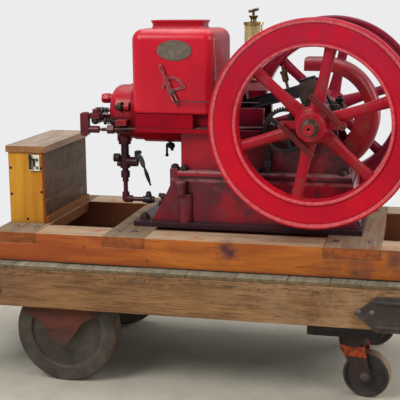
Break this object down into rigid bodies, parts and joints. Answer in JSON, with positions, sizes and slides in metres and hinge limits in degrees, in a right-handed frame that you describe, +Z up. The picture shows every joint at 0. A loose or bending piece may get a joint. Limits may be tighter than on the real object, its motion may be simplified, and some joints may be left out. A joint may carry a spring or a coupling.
{
  "type": "open crank hit-and-miss engine on timber skids and a factory cart",
  "caption": "Open-crank horizontal single cylinder engine with spoked flywheels and a water hopper, bolted to timber skids that ride on a four-wheeled wooden factory cart.",
  "frame": {"origin": "on the floor below the middle of the cart", "axes": "+Z up, +X from the cylinder head to the crank, -Y the side with the speed lever"},
  "size_m": [1.536, 0.85, 1.2325],
  "materials": {
    "red_enamel": "gloss red engine enamel, worn on edges",
    "dark_red": "grimy oxblood enamel with oil stains",
    "black_iron": "black oily iron",
    "steel": "worn bright steel",
    "brass": "dull brass",
    "glass": "clear glass with oil film",
    "deck_wood": "weathered brown hardwood",
    "skid_wood": "varnished orange fir",
    "box_wood": "varnished yellow pine, darkened sides",
    "cart_iron": "gunmetal cart iron",
    "rust_red": "faded rust red paint",
    "orange_paint": "chipped orange paint",
    "porcelain": "white glazed porcelain",
    "bronze_plate": "dull bronze plate"
  },
  "bodies": {
    "root": {"battery_box": "box_wood", "bearing_caps": "red_enamel", "cart_deck": "deck_wood", "cart_frame": "deck_wood", "caster_plates": "cart_iron", "connecting_rod": "black_iron", "corner_irons": "cart_iron", "crank_guard": "red_enamel", "crank_pin": "steel", "cylinder": "red_enamel", "cylinder_head": "red_enamel", "cylinder_oiler": "brass", "drain_cock": "black_iron", "engine_bed": "red_enamel", "fuel_cock": "dark_red", "fuel_filler": "dark_red", "fuel_line": "dark_red", "fuel_pump": "black_iron", "knife_switch": "porcelain", "mixer": "dark_red", "name_plate": "bronze_plate", "oiler_glass": "glass", "piston": "steel", "rocker_shaft": "black_iron", "rod_oiler": "brass", "skid_planks": "skid_wood", "skid_timber_far": "skid_wood", "skid_timber_near": "skid_wood", "speed_quadrant": "red_enamel", "sub_base": "dark_red", "water_hopper": "red_enamel", "wheel_brackets": "rust_red"},
    "crank": {"flywheel_near": "red_enamel", "flywheel_far": "red_enamel", "crankshaft": "steel", "crank_pinion": "black_iron"},
    "cam": {"cam_gear": "black_iron"},
    "weight_right": {"governor_weight_right": "red_enamel"},
    "weight_left": {"governor_weight_left": "red_enamel"},
    "pusher": {"push_rod": "steel"},
    "rocker": {"rocker_arm": "red_enamel"},
    "valve": {"exhaust_valve": "steel"},
    "lever": {"speed_lever": "red_enamel"},
    "link": {"speed_link": "steel"},
    "choke": {"choke_flap": "black_iron"},
    "lid": {"box_lid": "box_wood"},
    "wheel_near": {"big_wheel_near": "cart_iron"},
    "wheel_far": {"big_wheel_far": "cart_iron"},
    "swivel_near": {"caster_fork_near": "orange_paint"},
    "swivel_far": {"caster_fork_far": "orange_paint"},
    "caster_near": {"caster_wheel_near": "cart_iron"},
    "caster_far": {"caster_wheel_far": "cart_iron"}
  },
  "joints": [
    {"name": "crank_turn", "type": "hinge", "parent": "root", "child": "crank", "pos_m": [0.434, 0, 0.88], "axis": [0, 1, 0], "continuous": true},
    {"name": "cam_gear_turn", "type": "hinge", "parent": "root", "child": "cam", "pos_m": [0.3316, -0.157, 0.84474], "axis": [0, 1, 0], "continuous": true},
    {"name": "weight_right_swing", "type": "hinge", "parent": "crank", "child": "weight_right", "pos_m": [0.526, -0.328, 0.88], "axis": [0, 1, 0], "range_deg": [0, 15], "stiffness_Nm_per_rad": 20, "springref_deg": -11.46},
    {"name": "weight_left_swing", "type": "hinge", "parent": "crank", "child": "weight_left", "pos_m": [0.342, -0.328, 0.88], "axis": [0, 1, 0], "range_deg": [0, 15]},
    {"name": "push_rod_slide", "type": "slide", "parent": "root", "child": "pusher", "axis": [-0.9996, 0, -0.029], "range_m": [0, 0.008], "stiffness_N_per_m": 2000, "springref_m": -0.01},
    {"name": "rocker_swing", "type": "hinge", "parent": "root", "child": "rocker", "pos_m": [-0.327, -0.11, 0.858], "axis": [0, 1, 0], "range_deg": [0, 15.9]},
    {"name": "exhaust_valve_slide", "type": "slide", "parent": "root", "child": "valve", "axis": [1, 0, 0], "range_m": [0, 0.0082]},
    {"name": "speed_lever_swing", "type": "hinge", "parent": "root", "child": "lever", "pos_m": [-0.048, -0.158, 0.962], "axis": [0, 1, 0], "range_deg": [0, 50]},
    {"name": "speed_link_slide", "type": "slide", "parent": "root", "child": "link", "axis": [-1, 0, 0], "range_m": [0, 0.029]},
    {"name": "choke_swing", "type": "hinge", "parent": "root", "child": "choke", "pos_m": [-0.209, 0, 0.732], "axis": [0, -1, 0], "range_deg": [-19, 25]},
    {"name": "lid_swing", "type": "hinge", "parent": "root", "child": "lid", "pos_m": [-0.627, 0.023, 0.7523], "axis": [0, -1, 0], "range_deg": [0, 100]},
    {"name": "wheel_near_roll", "type": "hinge", "parent": "root", "child": "wheel_near", "pos_m": [-0.376, -0.298, 0.172], "axis": [0, 1, 0], "continuous": true},
    {"name": "wheel_far_roll", "type": "hinge", "parent": "root", "child": "wheel_far", "pos_m": [-0.376, 0.298, 0.172], "axis": [0, 1, 0], "continuous": true},
    {"name": "caster_near_swivel", "type": "hinge", "parent": "root", "child": "swivel_near", "pos_m": [0.57, -0.241, 0.2], "axis": [0, 0, 1], "continuous": true},
    {"name": "caster_near_roll", "type": "hinge", "parent": "swivel_near", "child": "caster_near", "pos_m": [0.61654, -0.24754, 0.076], "axis": [0.1392, 0.9903, 0], "continuous": true},
    {"name": "caster_far_swivel", "type": "hinge", "parent": "root", "child": "swivel_far", "pos_m": [0.57, 0.241, 0.2], "axis": [0, 0, 1], "continuous": true},
    {"name": "caster_far_roll", "type": "hinge", "parent": "swivel_far", "child": "caster_far", "pos_m": [0.61674, 0.24591, 0.076], "axis": [-0.1045, 0.9945, 0], "continuous": true}
  ],
  "couplings": [
    {"joint": "cam_gear_turn", "follows": "crank_turn", "ratio": -0.5},
    {"joint": "weight_left_swing", "follows": "weight_right_swing", "ratio": 1},
    {"joint": "rocker_swing", "follows": "push_rod_slide", "rad_per_m": 34.483},
    {"joint": "exhaust_valve_slide", "follows": "push_rod_slide", "ratio": 1},
    {"joint": "speed_link_slide", "follows": "speed_lever_swing", "m_per_rad": 0.03313}
  ]
}
